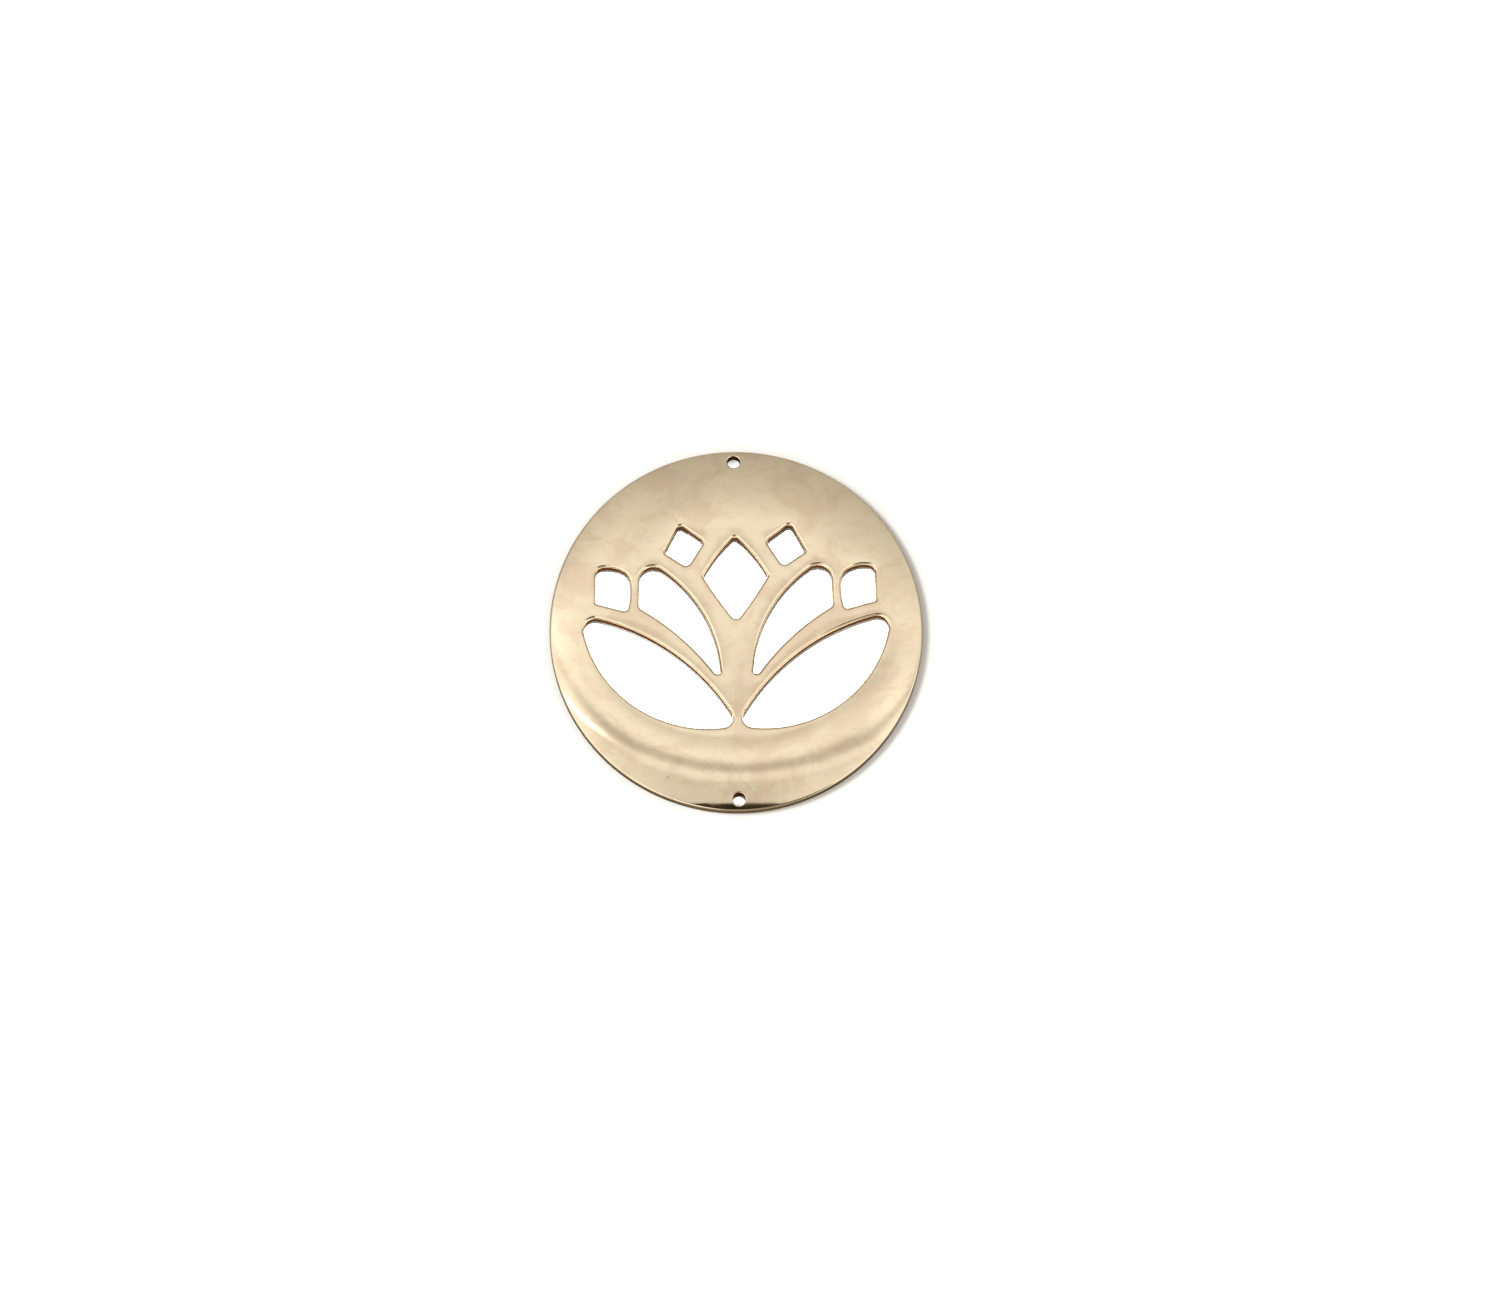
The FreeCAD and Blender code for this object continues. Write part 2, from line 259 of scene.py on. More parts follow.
class Sheet:
    """Collects the vertices, normals, marks of polish and painted shade, and faces of the disc."""

    def __init__(self):
        self.places = []
        self.normals = []
        self.marks = []
        self.faces = []
        self.count = 0

    def add(self, flat, heights, normals, mark):
        """Add points at their heights and return their numbers."""
        self.places.append(np.column_stack([flat, np.maximum(heights, LEAST_HEIGHT)]))
        self.normals.append(normals)
        self.marks.append(np.broadcast_to(mark, (len(flat),)))
        numbers = np.arange(self.count, self.count + len(flat))
        self.count += len(flat)
        return numbers

    def band(self, first, second):
        """Join two closed rings of the same length with quads."""
        self.faces += zip(first, np.roll(first, -1), np.roll(second, -1), second)


sheet = Sheet()


def rounded_ring(index, turn, front):
    """One ring of a rounded edge: turn 0 is on the wall and 90 degrees is on the face."""
    (points, into_metal), front_round, back_round = LOOPS[index]
    rounding = front_round if front else back_round
    distance = rounding * (1 - math.cos(turn))
    flat = points + into_metal * distance
    height, slope = dome_height(flat, DOME_RADIUS if front else BACK_RADIUS)
    if front:
        roll, roll_slope = soft_roll(flat, index if index < len(LOTUS) else None, distance)
        height = height - roll
        slope = slope + roll_slope
    sink = rounding * (1 - math.sin(turn))
    up = 1.0 if front else -1.0
    sideways = -slope * math.sin(turn) * up - into_metal * math.cos(turn)
    normals = np.column_stack([sideways, np.full(len(flat), math.sin(turn) * up)])
    return flat, height - sink * up, normals


def edge_polish_and_shade(rise, front, is_rim):
    """How bright a ring of a rounded edge is kept: 1 is as bright as the face. Lower values take
    the dark colour, which is painted shade on the rim and patina with painted shade in an opening.
    """
    if is_rim:
        return max(rise ** RIM_SHADE_FALLOFF, RIM_SHADE_BRIGHTNESS) if front else RIM_SHADE_BRIGHTNESS
    return max(rise, EDGE_POLISH_AND_SHADE) if front else EDGE_POLISH_AND_SHADE


def add_edge(index, front, turns):
    """Add the rings of a rounded edge, from the wall to the face; return first and last."""
    rings = []
    is_rim = index == len(LOOPS) - 1
    for turn in turns:
        flat, height, normals = rounded_ring(index, math.radians(turn), front)
        exposure = edge_polish_and_shade(math.sin(math.radians(turn)), front, is_rim)
        rings.append((sheet.add(flat, height, normals, exposure), flat))
        if len(rings) > 1:
            pair = (rings[-2][0], rings[-1][0])
            sheet.band(*(pair if front == is_rim else pair[::-1]))
    return rings[0][0], rings[-1]


def inside(points, loop):
    """Which points lie inside a closed loop."""
    x, y = points[:, :1], points[:, 1:]
    x1, y1 = loop[:, 0], loop[:, 1]
    x2, y2 = np.roll(x1, -1), np.roll(y1, -1)
    straddles = (y1 > y) != (y2 > y)
    rise = np.where(y2 == y1, TINY, y2 - y1)
    crossings = straddles & (x < (x2 - x1) * (y - y1) / rise + x1)
    return crossings.sum(axis=1) % 2 == 1


def clearance(points, rings):
    """Distance from each point to the nearest point of any ring."""
    best = np.full(len(points), np.inf)
    for _, ring in rings:
        gaps = points[:, None, :] - ring[None, :, :]
        best = np.minimum(best, np.sqrt((gaps ** 2).sum(axis=2)).min(axis=1))
    return best


def in_metal(points, rings):
    """Which points lie within the rim's ring and outside every opening's ring."""
    keep = inside(points, rings[-1][1])
    for _, ring in rings[:-1]:
        keep &= ~inside(points, ring)
    return keep


def fill_face(rings, spacing, front):
    """Fill the face between the innermost rings with an even mesh."""
    reach = int(DISC_RADIUS / spacing) + 2
    columns, rows = np.meshgrid(np.arange(-reach, reach), np.arange(-reach, reach))
    grid = np.column_stack([
        ((columns + (rows % 2) / 2) * spacing).ravel(),
        (rows * spacing * math.sqrt(3) / 2).ravel(),
    ])
    grid = grid[np.linalg.norm(grid, axis=1) < DISC_RADIUS]
    grid = grid[in_metal(grid, rings)]
    grid = grid[clearance(grid, rings) > spacing * CLEAR_SHARE]

    height, slope = dome_height(grid, DOME_RADIUS if front else BACK_RADIUS)
    if front:
        roll, roll_slope = soft_roll(grid)
        height = height - roll
        slope = slope + roll_slope
    up = 1.0 if front else -1.0
    normals = np.column_stack([-slope * up, np.full(len(grid), up)])
    numbers = [ring[0] for ring in rings]
    numbers.append(sheet.add(grid, height, normals, 1.0 if front else 0.0))
    numbers = np.concatenate(numbers)
    flat = np.concatenate([ring[1] for ring in rings] + [grid])

    borders = []
    start = 0
    for _, ring in rings:
        size = len(ring)
        borders += [(start + i, start + (i + 1) % size) for i in range(size)]
        start += size
    corners = [Vector(point) for point in flat]
    result = delaunay_2d_cdt(corners, borders, [], FILL_HULL, WELD_DISTANCE)
    triangles = np.array([face for face in result[2] if len(face) == 3])
    sources = np.array([origin[0] if origin else -1 for origin in result[3]])
    triangles = sources[triangles]
    triangles = triangles[(triangles >= 0).all(axis=1)]
    triangles = triangles[in_metal(flat[triangles].mean(axis=1), rings)]
    first, second, third = (flat[triangles[:, i]] for i in range(3))
    edge_one, edge_two = second - first, third - first
    turning = edge_one[:, 0] * edge_two[:, 1] - edge_one[:, 1] * edge_two[:, 0]
    backwards = (turning > 0) != front
    triangles[backwards] = triangles[backwards][:, ::-1]
    sheet.faces += [tuple(face) for face in numbers[triangles]]


front_rings = []
back_rings = []
for loop_index in range(len(LOOPS)):
    front_wall, front_ring = add_edge(loop_index, True, FRONT_TURNS)
    back_wall, back_ring = add_edge(loop_index, False, BACK_TURNS)
    front_rings.append(front_ring)
    back_rings.append(back_ring)
    is_rim = loop_index == len(LOOPS) - 1
    sheet.band(*((back_wall, front_wall) if is_rim else (front_wall, back_wall)))
fill_face(front_rings, FRONT_SPACING, True)
fill_face(back_rings, BACK_SPACING, False)


def build_disc():
    mesh = bpy.data.meshes.new("polished_disc")
    places = np.concatenate(sheet.places) * METRE
    mesh.from_pydata(places.tolist(), [], [tuple(int(i) for i in face) for face in sheet.faces])
    mesh.polygons.foreach_set("use_smooth", [True] * len(mesh.polygons))
    normals = np.concatenate(sheet.normals)
    normals /= np.linalg.norm(normals, axis=1)[:, None]
    mesh.normals_split_custom_set_from_vertices(normals.tolist())
    marks = mesh.attributes.new("polish_and_shade", "FLOAT", "POINT")
    marks.data.foreach_set("value", np.concatenate(sheet.marks).astype(np.float32))
    mesh.update()
    disc = bpy.data.objects.new("polished_disc", mesh)
    bpy.context.scene.collection.objects.link(disc)
    return disc


disc = build_disc()
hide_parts(NODE)
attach(disc, "root")

# ---------------------------------------------------------------- node helpers

# Outputs of the texture coordinate node (object), the attribute node (value) and the mix node.
OBJECT_OUTPUT = 3
VALUE_OUTPUT = 2
COLOR_OUTPUT = 2
# Inputs of the colour mix node: the share, the first colour and the second colour.
MIX_INPUTS = (0, 6, 7)
# A slope ramp covers slopes -0.5 to 1.5.
RAMP_SCALE = 0.5
RAMP_START = 0.25


class Nodes:
    """A short way to write a node tree: every call adds one node and links its inputs."""

    def __init__(self, tree):
        self.tree = tree
        tree.nodes.clear()

    def add(self, kind, inputs=(), output=0, **settings):
        node = self.tree.nodes.new(kind)
        for key, value in settings.items():
            setattr(node, key, value)
        for key, value in dict(inputs).items():
            self.fill(node, key, value)
        return node.outputs[output] if len(node.outputs) else None

    def fill(self, node, key, value):
        """Link a socket, or set a plain value, on one input of a node."""
        if isinstance(value, bpy.types.NodeSocket):
            self.tree.links.new(value, node.inputs[key])
        else:
            node.inputs[key].default_value = value

    def math(self, operation, first, second=0.0, third=0.0):
        values = {0: first, 1: second, 2: third}
        return self.add("ShaderNodeMath", values, operation=operation)

    def noise(self, vector, scale, detail=4.0, roughness=0.5, distortion=0.0):
        values = {
            "Vector": vector,
            "Scale": scale,
            "Detail": detail,
            "Roughness": roughness,
            "Distortion": distortion,
        }
        return self.add("ShaderNodeTexNoise", values)

    def span(self, value, low, high, to_low=0.0, to_high=1.0):
        """Map low..high smoothly onto to_low..to_high, held at the ends."""
        values = {
            "Value": value,
            "From Min": low,
            "From Max": high,
            "To Min": to_low,
            "To Max": to_high,
        }
        return self.add("ShaderNodeMapRange", values, interpolation_type="SMOOTHSTEP")

    def blend(self, share, first, second):
        node = self.tree.nodes.new("ShaderNodeMix")
        node.data_type = "RGBA"
        for key, value in zip(MIX_INPUTS, (share, first, second)):
            self.fill(node, key, value)
        return node.outputs[COLOR_OUTPUT]

    def towards(self, value, goal, share):
        """Move a value towards a goal by a share of the way."""
        return self.math("MULTIPLY_ADD", self.math("SUBTRACT", goal, value), share, value)

    def slope_ramp(self, slope, stops):
        """Straight lines through (slope, value) stops."""
        node = self.tree.nodes.new("ShaderNodeValToRGB")
        place = self.math("MULTIPLY_ADD", slope, RAMP_SCALE, RAMP_START)
        self.tree.links.new(place, node.inputs[0])
        elements = node.color_ramp.elements
        elements.remove(elements[1])
        elements[0].position = 0.0
        elements[0].color = (stops[0][1],) * 3 + (1.0,)
        for position, value in stops:
            stop = elements.new(RAMP_START + RAMP_SCALE * position)
            stop.color = (value, value, value, 1.0)
        return node.outputs[0]

    def distance_to(self, vector, x, y):
        """Distance in plan from the point (x, y)."""
        flatten = {0: vector, 1: (1.0, 1.0, 0.0)}
        flat = self.add("ShaderNodeVectorMath", flatten, operation="MULTIPLY")
        ends = {0: flat, 1: (x, y, 0.0)}
        return self.add("ShaderNodeVectorMath", ends, 1, operation="DISTANCE")

    def hairline(self, vector, x, y, radius, lowest, highest, half_width, depth):
        """A thin mark along part of a circle, faded at both ends."""
        off = self.math("SUBTRACT", self.distance_to(vector, x, y), radius)
        off = self.math("ABSOLUTE", off)
        along = self.add("ShaderNodeSeparateXYZ", {0: vector}, 1)
        low_end = self.span(along, lowest, lowest + HAIRLINE_FADE)
        high_end = self.span(along, highest - HAIRLINE_FADE, highest, 1.0, 0.0)
        line = self.span(off, 0.0, half_width, depth, 0.0)
        return self.math("MULTIPLY", line, self.math("MULTIPLY", low_end, high_end))

    def speck(self, vector, x, y, radius, depth):
        return self.span(self.distance_to(vector, x, y), radius / 2, radius, depth, 0.0)

    def stretched(self, vector, scale, turn=0.0):
        """A copy of the coordinates, turned about Z and stretched."""
        values = {"Vector": vector, "Rotation": (0.0, 0.0, turn), "Scale": scale}
        return self.add("ShaderNodeMapping", values)


# ---------------------------------------------------------------- polished bronze

WHITE = (1.0, 1.0, 1.0, 1.0)
BRONZE = (0.93, 0.775, 0.54, 1.0)
PINK_TARNISH = (0.84, 0.64, 0.44, 1.0)
GREY_TARNISH = (0.80, 0.70, 0.53, 1.0)
PATINA_AND_PAINTED_SHADE = (0.12, 0.09, 0.055, 1.0)
GRAZING_PATINA_AND_SHADE = (0.22, 0.17, 0.11, 1.0)
SCRATCH_BROWN = (0.34, 0.22, 0.13, 1.0)

# Noise settings: scale, detail, roughness and, for some, distortion.
CLOUDS = (0.22, 5.0, 0.6, 0.8)
PATCHES = (0.55, 6.0, 0.62, 1.4)
STROKES = (0.8, 4.0, 0.6, 0.5)
MOTTLE = (0.5, 6.0, 0.6)
BUFFING = (1.0, 3.0, 0.6)
WAVES = (0.22, 2.0, 0.45)
# Stretch along x, y and z, and turn about z, of the noises that aren't even.
PATCH_STRETCH = ((0.8, 1.3, 1.0), 0.5)
STROKE_STRETCH = ((0.35, 2.4, 1.0), 0.75)
BUFFING_STRETCH = ((9.0, 0.35, 1.0), 0.08)
# A span is where it starts and ends, and the values there.  These turn noise into a share of
# tarnish, the polish mark into the share of the dark colour (patina and painted shade), and noise
# into roughness.
PINK_CLOUDS = (0.46, 0.62, 0.0, 0.7)
PINK_PATCHES = (0.52, 0.66, 0.0, 0.5)
GREY_STROKES = (0.50, 0.76, 0.0, 0.4)
PATINA_AND_SHADE_SPAN = (0.1, 0.7, 1.0, 0.0)
ROUGHNESS_SPAN = (0.3, 0.7, 0.03, 0.065)
# The most pink tarnish, the roughness that a recess adds, how much the buffing lines count beside
# the waves in the relief, and the relief's depth in metres.
MOST_PINK = 0.8
RECESS_ROUGHNESS = 0.25
BUFFING_SHARE = 0.02
BUMP_DISTANCE = 0.00001

# Hairline scratches in millimetres: the circle each one follows (x, y, radius), its lowest and
# highest y, its half width and its depth of colour.
HAIRLINES = [
    (24.05, 25.45, 33.15, 10.4, 12.5, 0.045, 0.5),
    (24.5, 2.0, 30.0, -17.2, -12.4, 0.10, 0.16),
    (207.4, -20.0, 200.9, -16.6, -13.2, 0.05, 0.16),
    (208.3, -20.0, 200.9, -15.6, -12.0, 0.06, 0.20),
    (209.1, -20.0, 200.9, -15.0, -12.6, 0.05, 0.14),
    (-192.0, 30.0, 199.3, 9.5, 14.5, 0.06, 0.13),
    (-190.4, 30.0, 202.3, 3.5, 7.5, 0.06, 0.14),
    (188.0, 25.0, 199.7, 4.0, 9.0, 0.06, 0.12),
]
HAIRLINE_FADE = 0.5
# A dark speck: x, y, radius and depth of colour.
SPECK = (-7.2, -15.5, 0.13, 0.6)


def polished_bronze():
    """Yellow bronze, hand polished: faint tarnish, buffing lines, hairlines, and dark walls and
    edges that are patina and painted shade.
    """
    material = bpy.data.materials.new("polished_bronze")
    material.use_nodes = True
    nodes = Nodes(material.node_tree)
    place = nodes.add("ShaderNodeTexCoord", output=OBJECT_OUTPUT)
    millimetres = nodes.stretched(place, (1 / METRE,) * 3)
    polish_and_shade = nodes.add("ShaderNodeAttribute", output=VALUE_OUTPUT, attribute_name="polish_and_shade")

    clouds = nodes.noise(millimetres, *CLOUDS)
    patches = nodes.noise(nodes.stretched(millimetres, *PATCH_STRETCH), *PATCHES)
    strokes = nodes.noise(nodes.stretched(millimetres, *STROKE_STRETCH), *STROKES)
    pink = nodes.span(clouds, *PINK_CLOUDS)
    pink = nodes.math("ADD", pink, nodes.span(patches, *PINK_PATCHES))
    grey = nodes.span(strokes, *GREY_STROKES)
    color = nodes.blend(nodes.math("MINIMUM", pink, MOST_PINK), BRONZE, PINK_TARNISH)
    color = nodes.blend(grey, color, GREY_TARNISH)
    marks = nodes.speck(millimetres, *SPECK)
    for hairline in HAIRLINES:
        marks = nodes.math("MAXIMUM", marks, nodes.hairline(millimetres, *hairline))
    color = nodes.blend(marks, color, SCRATCH_BROWN)
    # Dark colour where the polish mark is low: patina and painted shade on the opening walls and
    # mouths, painted shade on the rim, and a brown tint in their reflections.
    patina_and_shade = nodes.span(polish_and_shade, *PATINA_AND_SHADE_SPAN)
    color = nodes.blend(patina_and_shade, color, PATINA_AND_PAINTED_SHADE)

    roughness = nodes.span(nodes.noise(millimetres, *MOTTLE), *ROUGHNESS_SPAN)
    roughness = nodes.math("MULTIPLY_ADD", patina_and_shade, RECESS_ROUGHNESS, roughness)

    buffing = nodes.noise(nodes.stretched(millimetres, *BUFFING_STRETCH), *BUFFING)
    waves = nodes.noise(millimetres, *WAVES)
    relief = nodes.math("MULTIPLY_ADD", buffing, BUFFING_SHARE, waves)
    bump = nodes.add("ShaderNodeBump", {
        "Strength": 1.0,
        "Distance": BUMP_DISTANCE,
        "Height": relief,
    })
    shader = nodes.add("ShaderNodeBsdfPrincipled", {
        "Base Color": color,
        "Metallic": 1.0,
        "Roughness": roughness,
        "Specular Tint": nodes.blend(patina_and_shade, WHITE, GRAZING_PATINA_AND_SHADE),
        "Normal": bump,
    })
    nodes.add("ShaderNodeOutputMaterial", {"Surface": shader})
    return material


disc.data.materials.append(polished_bronze())

# ---------------------------------------------------------------- studio

# Metres.
FLOOR_HALF = 1.6
FLOOR_HEIGHT = -0.00001
CEILING_HEIGHT = 3.0
CEILING_HALF = 12.0

PAPER = (0.92, 0.895, 0.83, 1.0)
PAPER_GLOW = (1.0, 0.93, 0.80, 1.0)
PAPER_GLOW_STRENGTH = 0.03
PAPER_ROUGHNESS = 0.9
SKY_STRENGTH = 0.5

# The ceiling is painted by slope: "across" and "along" are how far a point lies towards +X and +Y
# for each metre that it is above the disc.  A span of two numbers goes from 0 to 1.

# Brightness of the ceiling at slopes: (slope, brightness).  The near glow follows the bent seam
# between two diffusers, and the far glow dims away from the camera.
NEAR_GLOW = [
    (-0.45, 1.10), (-0.20, 0.74), (-0.05, 0.72), (-0.012, 0.74), (0.006, 0.93), (0.032, 0.97),
    (0.050, 0.72), (0.060, 0.61), (0.078, 0.63), (0.102, 0.95), (0.125, 1.04),
]
FAR_GLOW_LEFT = [
    (0.0, 1.0), (0.30, 1.0), (0.36, 0.96), (0.42, 0.92), (0.50, 0.78), (0.60, 0.69),
    (0.70, 0.59), (0.80, 0.49), (1.0, 0.36),
]
FAR_GLOW_RIGHT = [
    (0.0, 1.0), (0.12, 1.0), (0.16, 0.90), (0.20, 0.78), (0.235, 0.75), (0.262, 0.80),
    (0.280, 0.92), (0.32, 0.92), (0.38, 0.83), (0.44, 0.74), (0.52, 0.66), (0.64, 0.57),
    (0.80, 0.49), (1.0, 0.36),
]
# Where the far glow is the left one rather than the right one.
LEFTNESS = (-0.22, -0.06, 1.0, 0.0)

# The seam bends away past these slopes across, by these factors of the square.
LEFT_BEND = (-0.12, 2.15)
RIGHT_BEND = (0.26, 3.5)
SEAM_DIP = (0.0, 0.18, 0.0, -0.02)
MOST_BEND = 0.3
# Beside the middle, the dim band below the seam is lifted, and at the left the seam is fainter.
BESIDE_LEFT = (-0.28, -0.06, 1.0, 0.0)
BESIDE_RIGHT = (0.06, 0.2)
BELOW_SEAM = (-0.02, 0.0, 0.85, 0.0)
LIFTED_GLOW = 0.93
FAINT_SEAM = (-0.36, -0.20, 0.4, 0.0)
FAINT_GLOW = 0.95

# A bright streak beside the seam at the left: how far it lies from the seam, which changes with
# the slope across up to a limit, then its width and its strength.
STREAK_TILT = 0.36
STREAK_OFFSET = 0.117
STREAK_LIMIT = 0.025
STREAK_WIDTH = (0.003, 0.015, 1.0, 0.0)
STREAK_STRENGTH = (-0.36, -0.2, 1.9, 0.0)
# Soft windows at the far left and the far right.
LEFT_WINDOW = (-0.44, -0.22, 0.32, 0.0)
LEFT_WINDOW_END = (0.30, 0.42, 1.0, 0.0)
RIGHT_WINDOW = (0.24, 0.38, 0.0, 0.18)
RIGHT_WINDOW_END = (0.22, 0.32, 1.0, 0.0)
# The dark camera side starts at a border that curves, and is open at the left.
BORDER_MIDDLE = 0.01
BORDER_CURVE = 1.5
BORDER = (-0.121, -0.117, 1.0, 0.0)
OPEN_LEFT = (-0.24, -0.13)
SHADE = (-0.9, -0.45, 0.35, 0.03)

# As the ceiling dims, its light turns cream and then amber, over these brightnesses.
CREAM_LIGHT = (1.0, 0.98, 0.945, 1.0)
AMBER_LIGHT = (1.0, 0.66, 0.34, 1.0)
CREAM_BELOW = (0.5, 0.95)
AMBER_BELOW = (0.1, 0.4)


def plane(name, half, height, facing_down=False):
    mesh = bpy.data.meshes.new(name)
    corners = [(-half, -half, height), (half, -half, height),
               (half, half, height), (-half, half, height)]
    order = (3, 2, 1, 0) if facing_down else (0, 1, 2, 3)
    mesh.from_pydata(corners, [], [order])
    item = bpy.data.objects.new(name, mesh)
    bpy.context.scene.collection.objects.link(item)
    return item


def floor_paper():
    material = bpy.data.materials.new("floor_paper")
    material.use_nodes = True
    nodes = Nodes(material.node_tree)
    shader = nodes.add("ShaderNodeBsdfPrincipled", {
        "Base Color": PAPER,
        "Roughness": PAPER_ROUGHNESS,
        "Specular IOR Level": 0.0,
        "Emission Color": PAPER_GLOW,
        "Emission Strength": PAPER_GLOW_STRENGTH,
    })
    nodes.add("ShaderNodeOutputMaterial", {"Surface": shader})
    return material


def seam_bend(nodes, across):
    """How far the seam bends away from the camera at each slope across."""
    left = nodes.math("MAXIMUM", nodes.math("SUBTRACT", LEFT_BEND[0], across), 0.0)
    right = nodes.math("MAXIMUM", nodes.math("SUBTRACT", across, RIGHT_BEND[0]), 0.0)
    left = nodes.math("MULTIPLY", nodes.math("MULTIPLY", left, left), LEFT_BEND[1])
    right = nodes.math("MULTIPLY", nodes.math("MULTIPLY", right, right), RIGHT_BEND[1])
    bend = nodes.math("ADD", left, right)
    bend = nodes.math("ADD", bend, nodes.span(across, *SEAM_DIP))
    return nodes.math("MINIMUM", bend, MOST_BEND)


def near_glow(nodes, across, seam):
    """Brightness about the seam."""
    near = nodes.slope_ramp(seam, NEAR_GLOW)
    beside = nodes.math("ADD", nodes.span(across, *BESIDE_LEFT), nodes.span(across, *BESIDE_RIGHT))
    beside = nodes.math("MULTIPLY", beside, nodes.span(seam, *BELOW_SEAM))
    near = nodes.towards(near, LIFTED_GLOW, beside)
    return nodes.towards(near, FAINT_GLOW, nodes.span(across, *FAINT_SEAM))


def extra_glow(nodes, across, along, seam):
    """The bright streak and the soft windows."""
    drift = nodes.math("MULTIPLY_ADD", across, STREAK_TILT, STREAK_OFFSET)
    drift = nodes.math("MINIMUM", drift, STREAK_LIMIT)
    apart = nodes.math("ABSOLUTE", nodes.math("SUBTRACT", seam, drift))
    extra = nodes.span(apart, *STREAK_WIDTH)
    extra = nodes.math("MULTIPLY", extra, nodes.span(across, *STREAK_STRENGTH))
    windows = ((LEFT_WINDOW, LEFT_WINDOW_END), (RIGHT_WINDOW, RIGHT_WINDOW_END))
    for strength, end in windows:
        window = nodes.math("MULTIPLY", nodes.span(across, *strength), nodes.span(along, *end))
        extra = nodes.math("ADD", extra, window)
    return extra


def dark_front(nodes, across, along):
    """Where the ceiling is dark, on the camera's side."""
    aside = nodes.math("SUBTRACT", across, BORDER_MIDDLE)
    aside = nodes.math("MULTIPLY", aside, aside)
    border = nodes.math("MULTIPLY_ADD", aside, BORDER_CURVE, along)
    dark = nodes.span(border, *BORDER)
    return nodes.math("MULTIPLY", dark, nodes.span(across, *OPEN_LEFT))


def ceiling_light():
    """A wide overhead diffuser: bright middle, soft seam, dimmer far side, dark camera side."""
    material = bpy.data.materials.new("ceiling_light")
    material.use_nodes = True
    nodes = Nodes(material.node_tree)
    place = nodes.add("ShaderNodeTexCoord", output=OBJECT_OUTPUT)
    slopes = nodes.stretched(place, (1.0 / CEILING_HEIGHT,) * 3)
    across = nodes.add("ShaderNodeSeparateXYZ", {0: slopes})
    along = across.node.outputs[1]
    seam = nodes.math("SUBTRACT", along, seam_bend(nodes, across))

    far = nodes.blend(
        nodes.span(across, *LEFTNESS),
        nodes.slope_ramp(along, FAR_GLOW_RIGHT),
        nodes.slope_ramp(along, FAR_GLOW_LEFT),
    )
    glow = nodes.math("MULTIPLY", near_glow(nodes, across, seam), far)
    glow = nodes.math("ADD", glow, extra_glow(nodes, across, along, seam))
    shade = nodes.span(along, *SHADE)
    glow = nodes.towards(glow, shade, dark_front(nodes, across, along))

    tint = nodes.blend(nodes.span(glow, *CREAM_BELOW), CREAM_LIGHT, WHITE)
    tint = nodes.blend(nodes.span(glow, *AMBER_BELOW), AMBER_LIGHT, tint)
    shader = nodes.add("ShaderNodeEmission", {"Color": tint, "Strength": glow})
    nodes.add("ShaderNodeOutputMaterial", {"Surface": shader})
    return material


floor = plane("floor", FLOOR_HALF, FLOOR_HEIGHT)
floor.data.materials.append(floor_paper())
ceiling = plane("ceiling", CEILING_HALF, CEILING_HEIGHT, facing_down=True)
ceiling.data.materials.append(ceiling_light())
ceiling.visible_camera = False


def hidden_lamp(name, kind, place, power):
    """A lamp aimed at the disc that lights the floor but isn't mirrored by the metal."""
    light = bpy.data.lights.new(name, kind)
    light.energy = power
    lamp = bpy.data.objects.new(name, light)
    lamp.location = place
    lamp.rotation_euler = (-Vector(place)).to_track_quat("-Z", "Y").to_euler()
    lamp.visible_camera = False
    lamp.visible_glossy = False
    bpy.context.scene.collection.objects.link(lamp)
    return light


# The side lamp casts the soft shadow beside the rim.  The top lamp's beam, narrower than the disc,
# keeps the floor white inside the openings.  Places and sizes are metres, and powers are watts.
SIDE_LAMP_PLACE = (-0.88, 0.04, 1.44)
SIDE_LAMP_POWER = 15.5
SIDE_LAMP_SIZE = 0.44
SIDE_LAMP_COLOR = (0.96, 1.0, 1.09)
TOP_LAMP_HEIGHT = 0.4
TOP_LAMP_POWER = 16.0
TOP_LAMP_REACH = 0.0178
TOP_LAMP_BLEND = 0.05
TOP_LAMP_SIZE = 0.0015

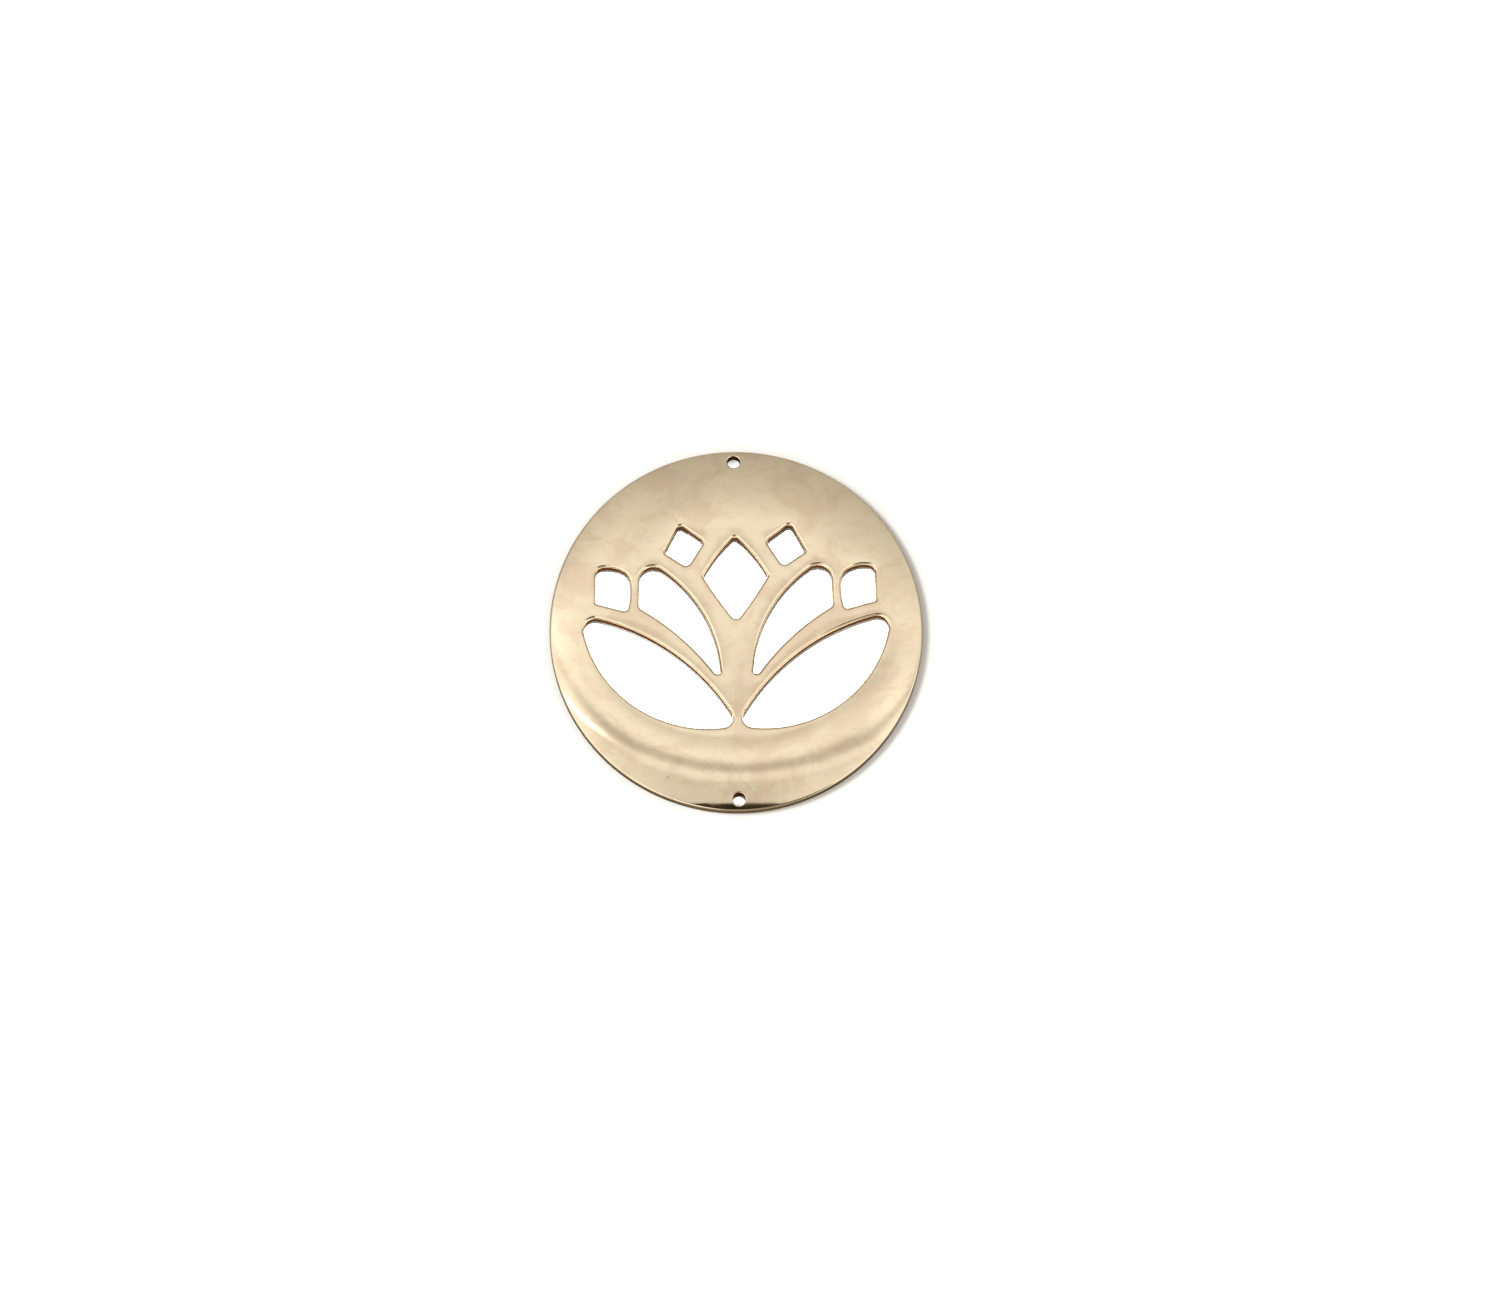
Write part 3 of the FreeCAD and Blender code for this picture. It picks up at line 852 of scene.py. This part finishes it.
side_lamp = hidden_lamp("side_lamp", "AREA", SIDE_LAMP_PLACE, SIDE_LAMP_POWER)
side_lamp.size = SIDE_LAMP_SIZE
side_lamp.color = SIDE_LAMP_COLOR
top_lamp = hidden_lamp("top_lamp", "SPOT", (0.0, 0.0, TOP_LAMP_HEIGHT), TOP_LAMP_POWER)
top_lamp.spot_size = 2 * math.atan(TOP_LAMP_REACH / TOP_LAMP_HEIGHT)
top_lamp.spot_blend = TOP_LAMP_BLEND
top_lamp.shadow_soft_size = TOP_LAMP_SIZE

world = bpy.data.worlds.new("studio")
bpy.context.scene.world = world
world.use_nodes = True
world_nodes = Nodes(world.node_tree)
sky = world_nodes.add("ShaderNodeBackground", {"Color": WHITE, "Strength": SKY_STRENGTH})
world_nodes.add("ShaderNodeOutputWorld", {"Surface": sky})

# ---------------------------------------------------------------- camera

# Millimetres again: the lens and its sensor, and the distance to the camera.
LENS = 200.0
SENSOR = 36.0
CAMERA_DISTANCE = 848.29
# The point aimed at: its height over the disc's underside, and how far it lies to the right of the
# disc's centre and up from it, as the camera sees them.
AIM_HEIGHT = 1.0
AIM_RIGHT = 1.4048
AIM_UP = -2.7179
# The direction from the disc to the camera, and the roll that sets the lotus upright.
LEAN = Vector((-0.02, -0.276, 1.0))
ROLL = math.radians(0.95)
UPRIGHT = Vector((math.sin(ROLL), math.cos(ROLL), 0.0))


def aim_camera():
    """Look down steeply from below the lotus."""
    data = bpy.data.cameras.new("camera")
    data.lens = LENS
    data.sensor_width = SENSOR
    data.dof.use_dof = False
    camera = bpy.data.objects.new("camera", data)
    bpy.context.scene.collection.objects.link(camera)
    back = LEAN.normalized()
    right = UPRIGHT.cross(back).normalized()
    up = back.cross(right)
    aim = Vector((0.0, 0.0, AIM_HEIGHT)) + right * AIM_RIGHT + up * AIM_UP
    place = (aim + back * CAMERA_DISTANCE) * METRE
    turn = Matrix((right, up, back)).transposed().to_4x4()
    camera.matrix_world = Matrix.Translation(place) @ turn
    bpy.context.scene.camera = camera


aim_camera()
bpy.context.scene.view_settings.view_transform = "Standard"
